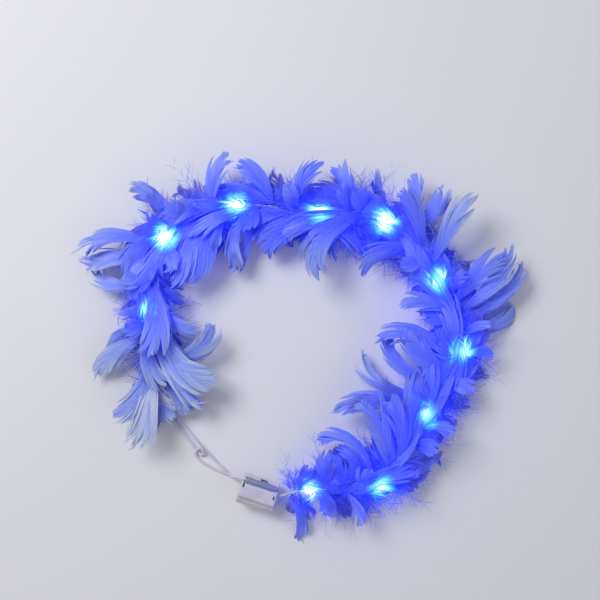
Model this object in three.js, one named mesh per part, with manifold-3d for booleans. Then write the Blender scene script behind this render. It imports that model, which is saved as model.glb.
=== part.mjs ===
// Light-up feather crown headband, lying closed on a table.
// A lit wire bound with feathers runs round the head. Its ends are joined by a small battery case
// and two elastic loops that hook through each other.
// Millimetres, +Z up, origin on the table under the middle of the whole thing.

import * as THREE from "three";
import { ParametricGeometry } from "three/addons/geometries/ParametricGeometry.js";
import { RoundedBoxGeometry } from "three/addons/geometries/RoundedBoxGeometry.js";
import { mergeVertices } from "three/addons/utils/BufferGeometryUtils.js";
import Module from "manifold-3d";

const wasm = await Module();
wasm.setup();

// Clearances
const gap = 0.3; // between neighbouring pieces
const floorClear = 0.4; // what lies on the table keeps this much above it before the last shift

// Wire and lights
const wireRadius = 0.8;
const wireSides = 6;
const wireSteps = 60;
const ledRadius = 2.7;
const ledLength = 7;
const ledSides = 10;
const endBindingRadius = 1.9;
const endBindingLength = 4.5;
const endBindingSides = 8;
const hookRoom = 3.2; // bare wire behind the end binding, where the elastic hooks
const caseRoom = 8; // bare wire from its start in the case to the first quills
const wireInset = 2.6; // how far inside the case's end the wire starts
const wireExit = -1.6; // its place through the case's depth there

// Feathers
const bladeThickness = 1.2;
const bladeSteps = 6;
const bladeSides = 3; // a ridge along the shaft over a flat underside
const downRadius = 8; // soft down round the quills, thickest midway between two lights
const downSteps = 6;
const downSides = 8;
const bladePace = 1.4; // sections of a blade close up towards its tip
const roomBreadth = 1.2; // how much broader than a blade its room is
const shaftSteps = 8;
const droop = 42; // degrees that a shaft bends down from root to tip
const quillInset = 1.5; // from the end of a tuft to its first quill
const goldenAngle = 137.5; // turn about the wire from one filling feather to the next
const goldenShare = 0.618;
const fillRise = 70;
const fillRiseLow = -25;
const fillRiseHigh = 60;
const fillLength = 25;
const fillLengthSpread = 12;
const fillWidth = 8;
const fillWidthSpread = 5;
const fillLean = 70; // degrees, spread of the lean along the wire
const fillCurl = 90; // degrees, spread of the sideways curl

// Battery case: length along its long side, width across, depth through
const caseLength = 24.4;
const caseWidth = 17.4;
const caseDepth = 10.8;
const caseRound = 1.2;
const caseWall = 1.2;
const partingHeight = 0.9; // above the middle of the depth
const partingGap = 0.5;
const caseTilt = 40; // degrees about its long side, so that one long edge rests on the table
const caseTurn = -18; // degrees in plan
const caseMiddle = [-30.2, -90.9];
const caseEdgeDrop = 0.48; // the rounded edge lets the case lie this much lower
const caseMargin = 1.5; // feathers keep this clear of the case's ends
const cutDepth = 3; // depth of the cuts that make the slots
const tabLength = 2.6;
const tabWidth = 3;
const tabDepth = 1;
const tabPlace = [-2, 2.1]; // across the case and through it

// Slide switch in the front of the case
const slotPlace = -3.5; // along the case
const slotLength = 6.4;
const slotWidth = 2.2;
const sliderTravel = 3;
const nubLength = 2.4;
const nubWidth = 1.6;
const flangeLength = 4;
const flangeWidth = 4.4;
const flangeDepth = 0.8;

// Elastic and the glue strip that holds it on the back of the case
const elasticRadius = 0.75;
const elasticSides = 6;
const loopSteps = 38;
const eyeSteps = 26;
const stemSteps = 12;
const stemAcross = 3; // place of the stem across the case's width
const stripWidth = 4.4;
const stripHeight = 2.3;
const stripLength = 22;

// A table of numbers with named columns becomes a list of records
const table = (columns, rows) =>
  rows.map((row) => Object.fromEntries(columns.map((name, column) => [name, row[column]])));

const radians = (degrees) => THREE.MathUtils.degToRad(degrees);
const clamp = (value, low, high) => THREE.MathUtils.clamp(value, low, high);
const fraction = (value) => value - Math.floor(value);

// The lights round the head, and last the far end of the wire: bearing in degrees from +X, reach
// from the middle of the ring, height over the table
const stations = table(
  ["bearing", "reach", "height"],
  [
    [-88, 88, 13],
    [-60.5, 98, 14],
    [-27.5, 87, 14],
    [1, 99, 14],
    [29, 97, 14],
    [58.5, 98, 14],
    [84, 89, 14],
    [115, 103, 14],
    [140.5, 116, 14],
    [165, 103, 14],
    [200.5, 96, 8.5],
  ],
);

// The feathers that show most. "at" is the root's place along the wire: 1 is the first light and
// 10 the last. Bearing and rise give the direction at the root, curl turns it in plan by the tip.
const leadFeathers = table(
  ["at", "bearing", "rise", "length", "width", "curl"],
  [
    [0.55, -62, 5, 36, 8, -24],
    [0.62, -105, -15, 20, 7, 20],
    [0.75, 75, 35, 19, 9, -20],
    [0.45, 120, 30, 18, 6, 25],
    [1.3, 105, 35, 26, 12, -15],
    [1.45, 95, 30, 25, 13, 20],
    [1.68, 85, 25, 34, 8, 45],
    [1.8, 72, 30, 60, 9, 105],
    [1.4, -100, -20, 20, 10, 25],
    [1.75, -75, -20, 20, 10, -25],
    [2.2, 98, 40, 60, 20, 15],
    [2.35, 80, 45, 52, 14, 20],
    [2.2, 5, 10, 38, 8, 30],
    [2.3, 28, 20, 42, 8, 35],
    [2.45, 18, 5, 36, 7, 15],
    [2.75, 30, 10, 30, 9, -20],
    [3.15, 168, 25, 66, 13, 15],
    [3.3, 185, 15, 62, 9, -50],
    [3.45, 170, 30, 58, 9, -45],
    [3.25, -25, -10, 28, 9, 20],
    [3.6, 150, 45, 50, 15, -10],
    [3.75, 125, 40, 64, 14, 52],
    [3.85, 25, 15, 36, 8, 55],
    [3.55, -5, -10, 28, 8, 30],
    [4.25, 3, 5, 46, 13, 22],
    [4.35, 28, 15, 60, 12, 14],
    [4.45, 40, 25, 60, 13, 10],
    [4.6, 56, 35, 48, 17, -10],
    [4.5, 150, 40, 40, 12, 25],
    [5.15, 75, 40, 58, 14, -15],
    [5.35, 95, 45, 50, 13, 15],
    [5.5, 182, 30, 44, 14, 38],
    [5.7, 30, 20, 42, 12, 25],
    [5.75, 60, 25, 40, 11, 20],
    [6.25, 185, 35, 64, 19, 70],
    [6.4, 200, 15, 50, 14, 45],
    [6.3, 130, 35, 40, 10, -15],
    [6.55, 95, 35, 34, 7, 20],
    [6.75, 250, 20, 32, 10, 20],
    [7.2, 215, 20, 38, 11, 15],
    [7.35, 75, 35, 38, 11, -20],
    [7.55, 110, 30, 38, 12, 25],
    [7.8, 262, 15, 46, 9, -5],
    [7.9, 248, 25, 44, 12, 15],
    [8.3, 95, 30, 40, 12, -25],
    [8.25, 256, 30, 52, 20, -5],
    [8.55, 270, 35, 48, 15, -15],
    [8.75, 125, 25, 40, 13, 20],
    [9.2, 148, 30, 52, 13, 55],
    [9.4, 168, 20, 46, 14, 20],
    [9.55, 285, 40, 58, 20, -10],
    [9.7, 185, 10, 40, 10, -20],
    [9.8, 300, 30, 44, 12, 30],
    [10.15, 195, 5, 38, 9, 30],
    [10.25, 206, 15, 48, 14, 10],
    [10.35, 272, 30, 58, 16, -40],
    [10.45, 268, 30, 64, 16, -4],
    [10.3, 308, 35, 54, 20, 20],
    [10.5, 345, 30, 50, 13, 70],
    [10.65, 264, 15, 40, 14, -15],
  ],
);

// Filling feathers in each tuft, from the case to the far end
const fillCounts = [2, 5, 6, 6, 6, 5, 5, 6, 6, 5, 6];

// The elastic at the far end, from where it hooks behind the end binding, down to its tip and back
const loopRoute = table(
  ["x", "y", "z"],
  [
    [-90.9, -28.2, 6.5],
    [-87.7, -32.0, 5.6],
    [-86.0, -39.5, 3.2],
    [-76.8, -51.2, 1.9],
    [-69.5, -59.8, 4.0],
    [-66.8, -63.4, 4.95],
    [-65.8, -66.0, 3.6],
    [-67.6, -67.8, 1.7],
    [-70.0, -65.6, 1.15],
    [-72.8, -61.6, 1.15],
    [-84.5, -47.0, 1.15],
    [-91.6, -37.5, 2.4],
    [-93.6, -31.8, 4.8],
  ],
);

// The eye at the case's end, from its fork, out along one strand, round the tip and back
const eyeRoute = table(
  ["x", "y", "z"],
  [
    [-50.2, -80.1, 1.3],
    [-58.4, -77.2, 1.15],
    [-64.5, -74.0, 1.15],
    [-69.8, -69.9, 1.7],
    [-71.4, -66.4, 2.9],
    [-69.6, -63.6, 3.05],
    [-66.9, -62.9, 3.0],
    [-64.6, -64.6, 2.3],
    [-58.4, -71.6, 1.15],
  ],
);

// The stem of the eye, from the case's edge down to the fork
const stemRoute = table(
  ["x", "y", "z"],
  [
    [-42.3, -80.6, 11.2],
    [-46.5, -81.3, 4.9],
  ],
);

// Slots in the two faces of the case: place of the middle, and size along the case and across it
const slotColumns = ["x", "y", "width", "height"];
const frontSlots = table(slotColumns, [
  [slotPlace, 0, slotWidth, slotLength],
  [10, 0, 1, 3.2],
]);
const coverSlots = table(slotColumns, [
  [1.5, 6.6, 4.8, 1.3],
  [-10.4, -0.6, 1, 3.6],
  [10.4, -3.4, 0.9, 3],
]);

// Finishes
const finish = (color, roughness, opacity = 1) =>
  new THREE.MeshStandardMaterial({ color, roughness, metalness: 0, opacity, transparent: opacity < 1 });
const materials = {
  feather: finish("#dfe2ff", 0.85),
  led: finish("#d6fbff", 0.15),
  wire: finish("#c9cbd8", 0.4),
  elastic: finish("#eceaf5", 0.75),
  plastic: finish("#ebe6f0", 0.35),
  glue: finish("#c9d0ff", 0.25, 0.6),
};

const crown = new THREE.Group();

// Solids: a closed surface becomes a solid that can be joined and cut, and back
function solidOf(surface) {
  const bare = new THREE.BufferGeometry();
  bare.setAttribute("position", surface.getAttribute("position"));
  bare.setIndex(surface.getIndex());
  const merged = mergeVertices(bare);
  const corners = merged.getIndex().array;
  const faces = [];
  for (let i = 0; i < corners.length; i += 3) {
    const [a, b, c] = corners.slice(i, i + 3);
    if (a !== b && b !== c && c !== a) faces.push(a, b, c);
  }
  return new wasm.Manifold(
    new wasm.Mesh({
      numProp: 3,
      vertProperties: merged.getAttribute("position").array,
      triVerts: new Uint32Array(faces),
    }),
  );
}

function surfaceOf(solid) {
  const mesh = solid.getMesh();
  const surface = new THREE.BufferGeometry();
  surface.setAttribute("position", new THREE.BufferAttribute(mesh.vertProperties, 3));
  surface.setIndex(new THREE.BufferAttribute(mesh.triVerts, 1));
  surface.computeVertexNormals();
  return surface;
}

const largestOf = (solid) =>
  solid.decompose().reduce((best, piece) => (piece.volume() > best.volume() ? piece : best));

const touch = (one, other) => one.intersect(other).volume() > 0;

function addPiece(parent, name, solid, material) {
  const piece = new THREE.Mesh(surfaceOf(solid), material);
  piece.name = name;
  parent.add(piece);
}

// Tubes and boxes
function roundSection(radius, sides) {
  const turn = (2 * Math.PI) / sides;
  const corners = Array.from(
    { length: sides },
    (_, side) => new THREE.Vector2(radius * Math.cos(side * turn), radius * Math.sin(side * turn)),
  );
  return new THREE.Shape(corners);
}

const tube = (curve, radius, sides, steps) =>
  solidOf(new THREE.ExtrudeGeometry(roundSection(radius, sides), { extrudePath: curve, steps }));

const ring = (curve, radius, sides, steps) =>
  solidOf(new THREE.TubeGeometry(curve, steps, radius, sides, true));

// A radius that keeps a many-sided hole clear of a many-sided rod inside it
const clearRadius = (radius, sides) => (radius + gap) / Math.cos(Math.PI / sides);

const boxAt = (x, y, z, width, height, depth) =>
  solidOf(new THREE.BoxGeometry(width, height, depth).translate(x, y, z));

const pointsOf = (route) => route.map(({ x, y, z }) => new THREE.Vector3(x, y, z));

// Battery case, in a group of its own: x along it, y across it, z through it with the back up
const battery = new THREE.Group();
const caseRise =
  (caseWidth / 2) * Math.sin(radians(caseTilt)) + (caseDepth / 2) * Math.cos(radians(caseTilt));
battery.position.set(caseMiddle[0], caseMiddle[1], caseRise + floorClear - caseEdgeDrop);
battery.rotation.set(-radians(caseTilt), 0, radians(caseTurn), "ZYX");
battery.updateMatrix();
crown.add(battery);
const fromCase = (x, y, z) => new THREE.Vector3(x, y, z).applyMatrix4(battery.matrix);
const wireStart = fromCase(caseLength / 2 - wireInset, 0, wireExit);

// The wire's route
const wirePoints = [
  wireStart,
  ...stations.map(
    ({ bearing, reach, height }) =>
      new THREE.Vector3(reach * Math.cos(radians(bearing)), reach * Math.sin(radians(bearing)), height),
  ),
];
const lastStation = wirePoints.length - 1;
const wireCurve = new THREE.CatmullRomCurve3(wirePoints, false, "catmullrom");
const wireAt = (at) => wireCurve.getPoint(at / lastStation);
const wireHeading = (at) => wireCurve.getTangent(at / lastStation);
const spanOf = (index) => wirePoints[index].distanceTo(wirePoints[index + 1]);
const stretch = (from, to, parts) =>
  new THREE.CatmullRomCurve3(
    Array.from({ length: parts + 1 }, (_, part) => wireAt(from + ((to - from) * part) / parts)),
  );

const wire = tube(wireCurve, wireRadius, wireSides, wireSteps);
const wireRoom = tube(wireCurve, clearRadius(wireRadius, wireSides), wireSides, wireSteps);
addPiece(crown, "led_wire", wire, materials.wire);

// Light drops: a drop turned about the wire, round in the middle and drawn in at both ends
function ledDrop(station, extra) {
  const half = ledLength / 2 + extra;
  const radius = ledRadius + extra;
  const profile = [
    new THREE.Vector2(0, -half),
    new THREE.Vector2(radius * 0.75, -half * 0.7),
    new THREE.Vector2(radius, 0),
    new THREE.Vector2(radius * 0.75, half * 0.7),
    new THREE.Vector2(0, half),
  ];
  const drop = new THREE.LatheGeometry(profile, ledSides);
  const turn = new THREE.Quaternion().setFromUnitVectors(new THREE.Vector3(0, 1, 0), wireHeading(station));
  drop.applyQuaternion(turn);
  const middle = wireAt(station);
  return solidOf(drop.translate(middle.x, middle.y, middle.z));
}

const ledRooms = [];
for (let station = 1; station < lastStation; station += 1) {
  const name = `led_${String(station).padStart(2, "0")}`;
  addPiece(crown, name, ledDrop(station, 0).subtract(wireRoom), materials.led);
  ledRooms.push(ledDrop(station, gap));
}

// End binding on the far end of the wire, closed off beyond the tip
const endSpan = spanOf(lastStation - 1);
const endBinding = tube(
  stretch(lastStation - endBindingLength / endSpan, lastStation, 1),
  endBindingRadius,
  endBindingSides,
  1,
).subtract(wireRoom);
addPiece(crown, "end_binding", endBinding, materials.feather);

// Elastic: a closed loop at the far end, and a stem with an eye at the case's end
const loopCurve = new THREE.CatmullRomCurve3(pointsOf(loopRoute), true);
const eyeCurve = new THREE.CatmullRomCurve3(pointsOf(eyeRoute), true);
const stemHeight = caseDepth / 2 + gap + elasticRadius;
const stemCurve = new THREE.CatmullRomCurve3([
  fromCase(stripLength / 2, stemAcross, stemHeight),
  fromCase(0, stemAcross, stemHeight),
  fromCase(-caseLength / 2, stemAcross, stemHeight),
  ...pointsOf(stemRoute),
  ...pointsOf(eyeRoute).slice(0, 1),
]);
const elastic = (radius) => ({
  loop: ring(loopCurve, radius, elasticSides, loopSteps),
  eye: tube(stemCurve, radius, elasticSides, stemSteps).add(ring(eyeCurve, radius, elasticSides, eyeSteps)),
});
const elasticPieces = elastic(elasticRadius);
const elasticRooms = elastic(elasticRadius + gap);
addPiece(crown, "elastic_loop", elasticPieces.loop, materials.elastic);
addPiece(crown, "elastic_eye", elasticPieces.eye, materials.elastic);

// Case halves: a rounded box, hollow inside and parted all round, with its slots and pry tab
const roundedCase = solidOf(new RoundedBoxGeometry(caseLength, caseWidth, caseDepth, 2, caseRound));
const [innerLength, innerWidth, innerDepth] = [caseLength, caseWidth, caseDepth].map(
  (outside) => outside - 2 * caseWall,
);
const hollow = boxAt(0, 0, 0, innerLength, innerWidth, innerDepth);
const walls = roundedCase.subtract(hollow);
const frontDepth = caseDepth / 2 + partingHeight - partingGap / 2;
const backDepth = caseDepth / 2 - partingHeight - partingGap / 2;
const slab = (middle, depth) => boxAt(0, 0, middle, 2 * caseLength, 2 * caseWidth, depth);
const frontHalf = slab((frontDepth - caseDepth) / 2, frontDepth);
const backHalf = slab((caseDepth - backDepth) / 2, backDepth);
const inCase = new THREE.Matrix4().copy(battery.matrix).invert();
const wireHole = solidOf(surfaceOf(wireRoom).applyMatrix4(inCase));
const cutSlots = (half, slots, face) =>
  slots.reduce(
    (rest, { x, y, width, height }) => rest.subtract(boxAt(x, y, face, width, height, cutDepth)),
    half,
  );
const caseShell = cutSlots(walls.intersect(frontHalf), frontSlots, -caseDepth / 2).subtract(wireHole);
addPiece(battery, "case_shell", caseShell, materials.plastic);

const pryTab = boxAt(caseLength / 2, ...tabPlace, tabLength, tabWidth, tabDepth).subtract(hollow);
const backWalls = walls.intersect(backHalf).add(pryTab);
const caseCover = cutSlots(backWalls, coverSlots, caseDepth / 2).subtract(wireHole);
addPiece(battery, "case_cover", caseCover, materials.plastic);

// Glue strip: half round in section, with a channel for the stem
const stripOutline = new THREE.Shape();
stripOutline.absellipse(0, 0, stripWidth / 2, stripHeight, 0, Math.PI);
const stripBlank = new THREE.ExtrudeGeometry(stripOutline, {
  depth: stripLength,
  steps: 1,
  curveSegments: 8,
  bevelEnabled: false,
});
stripBlank.rotateX(Math.PI / 2).rotateZ(Math.PI / 2);
stripBlank.translate(-stripLength / 2, stemAcross, caseDepth / 2 + gap);
const stemRoom = new THREE.CylinderGeometry(elasticRadius + gap, elasticRadius + gap, 2 * caseLength, 8)
  .rotateZ(Math.PI / 2)
  .translate(0, stemAcross, stemHeight);
addPiece(battery, "glue_strip", solidOf(stripBlank).subtract(solidOf(stemRoom)), materials.glue);

// Slider: a nub in the slot on a flange behind the wall, shown at the end of its travel
const sliderAt = -sliderTravel / 2;
const innerFace = -caseDepth / 2 + caseWall;
const nubDepth = caseWall + gap + flangeDepth / 2;
const nubMiddle = innerFace + gap + flangeDepth / 2 - nubDepth / 2;
const nub = boxAt(slotPlace, sliderAt, nubMiddle, nubWidth, nubLength, nubDepth);
const flange = boxAt(
  slotPlace,
  sliderAt,
  innerFace + gap + flangeDepth / 2,
  flangeWidth,
  flangeLength,
  flangeDepth,
);
addPiece(battery, "switch_slider", nub.add(flange), materials.plastic);

// A feather: its shaft bends down and curls sideways, and never goes below the table
function shaftOf({ root, bearing, rise, length, curl }) {
  const lowest = floorClear + bladeThickness / 4;
  const points = [root];
  for (let step = 0; step < shaftSteps; step += 1) {
    const along = (step + 0.5) / shaftSteps;
    const heading = radians(bearing + curl * along);
    const slope = radians(rise - droop * along);
    const reach = length / shaftSteps;
    const next = points[step].clone();
    next.x += reach * Math.cos(heading) * Math.cos(slope);
    next.y += reach * Math.sin(heading) * Math.cos(slope);
    next.z = Math.max(lowest, next.z + reach * Math.sin(slope));
    points.push(next);
  }
  return new THREE.CatmullRomCurve3(points);
}

// A closed sweep along a curve, closed at both ends and never below the table. A pace over 1 moves
// its sections towards the far end.
function sweep(curve, halfWidth, halfDepth, { steps, sides, pace, lowest }) {
  const side = new THREE.Vector3();
  const up = new THREE.Vector3();
  const place = (along, around, target) => {
    const inside = 1 - (1 - clamp(along, 0, 1)) ** pace;
    const ahead = curve.getTangent(inside);
    side.set(-ahead.y, ahead.x, 0).normalize();
    up.crossVectors(ahead, side);
    target.copy(curve.getPoint(inside));
    target.addScaledVector(side, halfWidth(inside) * Math.sin(2 * Math.PI * around));
    target.addScaledVector(up, halfDepth(inside) * Math.cos(2 * Math.PI * around));
    target.z = Math.max(target.z, lowest);
  };
  return solidOf(new ParametricGeometry(place, steps, sides));
}

// Half width of a vane along its shaft: narrow at the quill, widest towards the blunt tip
const vane = (along) => Math.sin(Math.PI * along ** 2) ** 0.6;
const between = (along) => (along > 0 && along < 1 ? 1 : 0);

// With an extra all round, the blade is the room that other pieces leave to it
function bladeOf(feather, extra) {
  const broad = extra > 0 ? roomBreadth : 1;
  const half = (feather.width / 2 / Math.sin((2 * Math.PI) / bladeSides)) * broad;
  const halfWidth = (along) => between(along) * (half * vane(along) + extra);
  const halfDepth = (along) => between(along) * (bladeThickness / 2 + extra);
  const sections = { steps: bladeSteps, sides: bladeSides, pace: bladePace, lowest: floorClear - extra };
  return sweep(shaftOf(feather), halfWidth, halfDepth, sections);
}

// The down at the roots of a tuft, a spindle round the wire
function downOf(path, extra) {
  const radius = Math.min(downRadius, path.getLength() / 4);
  const half = (along) => between(along) * (radius * Math.sin(Math.PI * along) ** 0.5 + extra);
  return sweep(path, half, half, { steps: downSteps, sides: downSides, pace: 1, lowest: floorClear });
}

// Filling feathers turn about the wire by the golden angle, out, up and in by turns
function fillFeather(tuft, order, count, turn) {
  const about = radians(goldenAngle * turn);
  const at = tuft + (order + 0.5) / count;
  const ahead = wireHeading(at);
  const outward = THREE.MathUtils.radToDeg(Math.atan2(-ahead.x, ahead.y));
  const wander = fraction(turn * goldenShare) - 0.5;
  const grow = fraction(turn * goldenShare ** 2);
  return {
    at,
    bearing: (Math.cos(about) > 0 ? outward : outward + 180) + fillLean * wander,
    rise: clamp(fillRise * Math.sin(about), fillRiseLow, fillRiseHigh),
    length: fillLength + fillLengthSpread * grow,
    width: fillWidth + fillWidthSpread * (1 - grow),
    curl: -fillCurl * wander,
  };
}

// Tufts: the down between two lights, with its feathers fused to it
const tuftEnds = (tuft) => {
  const span = spanOf(tuft);
  const atLed = (ledLength / 2 + gap) / span;
  const start = tuft === 0 ? caseRoom / span : atLed;
  const stop = tuft === lastStation - 1 ? (endBindingLength + hookRoom) / span : atLed;
  return [tuft + start, tuft + 1 - stop];
};

let turns = 0;
function feathersOf(tuft) {
  const [start, stop] = tuftEnds(tuft);
  const inset = quillInset / spanOf(tuft);
  const count = fillCounts[tuft];
  const fills = Array.from({ length: count }, (_, order) => {
    turns += 1;
    return { ...fillFeather(tuft, order, count, turns), filling: true };
  });
  const leads = leadFeathers.filter(({ at }) => Math.floor(at) === tuft);
  return [...leads, ...fills].map((feather) => ({
    ...feather,
    root: wireAt(clamp(feather.at, start + inset, stop - inset)),
  }));
}

const caseBlock = solidOf(
  new THREE.BoxGeometry(
    caseLength + 2 * caseMargin,
    caseWidth + 2 * gap,
    caseDepth + 2 * (stripHeight + caseMargin),
  ).applyMatrix4(battery.matrix),
);
const endRoom = tube(
  stretch(lastStation - (endBindingLength + gap) / endSpan, lastStation, 1),
  endBindingRadius + gap,
  endBindingSides,
  1,
);
const kept = [caseBlock, endRoom, elasticRooms.loop, elasticRooms.eye, ...ledRooms];
const tuftRooms = [];
for (let tuft = 0; tuft < lastStation; tuft += 1) {
  const [start, stop] = tuftEnds(tuft);
  const path = stretch(start, stop, 4);
  let solid = downOf(path, 0);
  let room = downOf(path, gap);
  for (const feather of feathersOf(tuft)) {
    const blade = bladeOf(feather, 0);
    const crowded = feather.filling && tuftRooms.some((other) => touch(blade, other));
    if (!crowded) {
      solid = solid.add(blade);
      room = room.add(bladeOf(feather, gap));
    }
  }
  const trimmed = [wireRoom, ...kept, ...tuftRooms].reduce((rest, other) => rest.subtract(other), solid);
  const name = `feather_tuft_${String(tuft + 1).padStart(2, "0")}`;
  addPiece(crown, name, largestOf(trimmed), materials.feather);
  tuftRooms.push(room);
}

// The origin goes under the middle of the whole thing, on the table
const reach = new THREE.Box3().setFromObject(crown, true);
const middle = reach.getCenter(new THREE.Vector3());
crown.position.set(-middle.x, -middle.y, -reach.min.z);

export default crown;
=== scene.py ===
import bpy
import numpy as np
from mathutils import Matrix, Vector


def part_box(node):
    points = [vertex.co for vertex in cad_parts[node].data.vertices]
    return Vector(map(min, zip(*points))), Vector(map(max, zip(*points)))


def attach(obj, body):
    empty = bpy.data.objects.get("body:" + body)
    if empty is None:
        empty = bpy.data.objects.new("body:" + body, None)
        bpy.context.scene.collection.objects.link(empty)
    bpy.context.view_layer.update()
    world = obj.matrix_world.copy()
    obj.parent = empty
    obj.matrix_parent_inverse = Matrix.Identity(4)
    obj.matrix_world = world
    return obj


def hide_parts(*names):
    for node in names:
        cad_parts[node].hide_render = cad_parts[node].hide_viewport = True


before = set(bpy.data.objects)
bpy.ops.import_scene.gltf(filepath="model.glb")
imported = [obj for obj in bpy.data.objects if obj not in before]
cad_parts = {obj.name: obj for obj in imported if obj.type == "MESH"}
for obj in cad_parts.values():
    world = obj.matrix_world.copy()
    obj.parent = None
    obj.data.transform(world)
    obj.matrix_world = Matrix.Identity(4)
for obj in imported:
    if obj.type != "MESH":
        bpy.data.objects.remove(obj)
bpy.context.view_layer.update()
scene = bpy.context.scene


# Unit vectors: each vector over its own length
def unit(vectors):
    return vectors / np.maximum(np.linalg.norm(vectors, axis=-1, keepdims=True), 1e-9)


# Two ways square to a heading: level to its side, and over it
def squareTo(ahead):
    side = unit(np.cross(ahead, [0.0, 0.0, 1.0]))
    return side, np.cross(side, ahead)


# A hex colour as linear light: the sRGB curve undone, channel by channel
def linear(hexText):
    channels = np.array([int(hexText[start:start + 2], 16) for start in (1, 3, 5)]) / 255
    light = np.where(channels <= 0.04045, channels / 12.92, ((channels + 0.055) / 1.055) ** 2.4)
    return (*light.tolist(), 1.0)


coarsePoints = 400  # a route's length is measured with so many points


# A smooth route through points: cubic pieces between them, with slopes that weigh the neighbours by
# their distance to the power "spread", so 0 weighs them evenly
def routeAt(points, at, spread=0.5, closed=False):
    points = np.asarray(points, float)
    before, after = 2 * points[:1] - points[1:2], 2 * points[-1:] - points[-2:-1]
    if closed:
        before, after = points[-1:], points[:2]
    chain = np.concatenate([before, points, after])
    index = np.clip(np.floor(at).astype(int), 0, len(chain) - 4)
    share = (at - index)[..., None]
    a, b, c, d = (chain[index + step] for step in range(4))
    ab, bc, cd = (
        np.linalg.norm(far - near, axis=-1, keepdims=True) ** spread
        for near, far in ((a, b), (b, c), (c, d))
    )
    leave = bc * ((b - a) / ab - (c - a) / (ab + bc)) + (c - b)
    arrive = (c - b) - bc * ((d - b) / (bc + cd) - (d - c) / cd)
    square, cube = share**2, share**3
    return (
        b * (2 * cube - 3 * square + 1)
        + leave * (cube - 2 * square + share)
        + c * (3 * square - 2 * cube)
        + arrive * (cube - square)
    )


# Length along a path up to each of its points: the running sum of its steps
def lengthAlong(path):
    steps = np.linalg.norm(np.diff(path, axis=0), axis=1)
    return np.concatenate([[0], np.cumsum(steps)])


# Faces of a grid: each cell joins its four corners. The last column joins the first, and closeRows joins
# the last row to the first too.
def gridFaces(rows, columns, closeRows=False):
    row = np.arange(rows if closeRows else rows - 1)[:, None]
    column = np.arange(columns)[None]
    nextRow = (row + 1) % rows
    nextColumn = (column + 1) % columns
    corners = [(row, column), (nextRow, column), (nextRow, nextColumn), (row, nextColumn)]
    return np.stack([r * columns + c for r, c in corners], -1).reshape(-1, 4)


# Faces of a grid that is closed round its columns, with one flat face on each end
def cappedFaces(rows, columns):
    around = np.arange(columns)[None]
    return [gridFaces(rows, columns), around, rows * columns - 1 - around]


# A tube: round each point of a path a ring of the given radius, square to the path. An open tube has
# a flat face on each end.
def tubeSurface(path, radius, sides, closed=False):
    ahead = np.roll(path, -1, 0) - np.roll(path, 1, 0) if closed else np.gradient(path, axis=0)
    side, up = squareTo(unit(ahead))
    turn = 2 * np.pi * np.arange(sides) / sides
    radius = np.broadcast_to(np.asarray(radius, float), (len(path), sides))[..., None]
    ring = np.cos(turn)[:, None] * side[:, None] + np.sin(turn)[:, None] * up[:, None]
    points = (path[:, None] + radius * ring).reshape(-1, 3)
    return points, [gridFaces(len(path), sides, True)] if closed else cappedFaces(len(path), sides)


# Several surfaces as one: points one after another, faces moved on by the points before them
def joined(surfaces):
    points, faces, start = [], [], 0
    for surfacePoints, surfaceFaces in surfaces:
        points.append(surfacePoints.reshape(-1, 3))
        faces.extend(face + start for face in surfaceFaces)
        start += len(points[-1])
    return np.concatenate(points), faces


# The wire's route: bearing, reach and height of the lights round the head, and last its far end
wireRow = {
    "stations": [
        (-88, 88, 13), (-60.5, 98, 14), (-27.5, 87, 14), (1, 99, 14), (29, 97, 14), (58.5, 98, 14),
        (84, 89, 14), (115, 103, 14), (140.5, 116, 14), (165, 103, 14), (200.5, 96, 8.5),
    ],
    "inset": 2.6,  # its start inside the case
    "exit": -1.6,
    "strandRadius": 0.39,
    "twist": 9.0,
    "step": 1.2,
    "sides": 8,
    "headingStep": 0.01,
}

# Battery case: its own frame has x along it, y across it and z through it, with the back up
caseRow = {
    "size": np.array([24.4, 17.4, 10.8]),
    "round": 1.2,
    "wall": 1.2,
    "parting": (0.65, 1.15),  # the two halves end here, through the depth
    "chamfer": 0.45,
    "recess": (0.7, 2.0),  # finger groove along the back half: how deep and how high
    "tilt": 40,
    "turn": -18,
    "middle": (-30.2, -90.9),
    "tableClear": -0.08,
    "cornerPoints": 6,
    "frontSlots": [(-3.5, 0, 2.2, 6.4), (10, 0, 1, 3.2)],  # middle and size, along and across
    "backSlots": [(1.5, 6.6, 4.8, 1.3), (-10.4, -0.6, 1, 3.6), (10.4, -3.4, 0.9, 3)],
    "slotRound": 0.25,
    "tab": (12.2, -2, 2.6, 3),
    "tabHeight": (1.6, 2.6),
    "leastBend": 0.1,
    "sharp": 35,
    "grain": 0.6,
    "cloud": 9.0,
}


# Case to ring: a tilt about its long side, then a turn in plan, then its place over the table
def caseFrame():
    tilt, turn = np.radians(-caseRow["tilt"]), np.radians(caseRow["turn"])
    tilted = np.array([[1, 0, 0], [0, np.cos(tilt), -np.sin(tilt)], [0, np.sin(tilt), np.cos(tilt)]])
    turned = np.array([[np.cos(turn), -np.sin(turn), 0], [np.sin(turn), np.cos(turn), 0], [0, 0, 1]])
    half = caseRow["size"] / 2
    rise = half[1] * np.sin(-tilt) + half[2] * np.cos(tilt) + caseRow["tableClear"]
    return turned @ tilted, np.array([*caseRow["middle"], rise])


caseTurn, casePlace = caseFrame()


# Points of the case in the ring's frame: turned, then moved to the case's place
def fromCase(points):
    return np.asarray(points, float) @ caseTurn.T + casePlace


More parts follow.
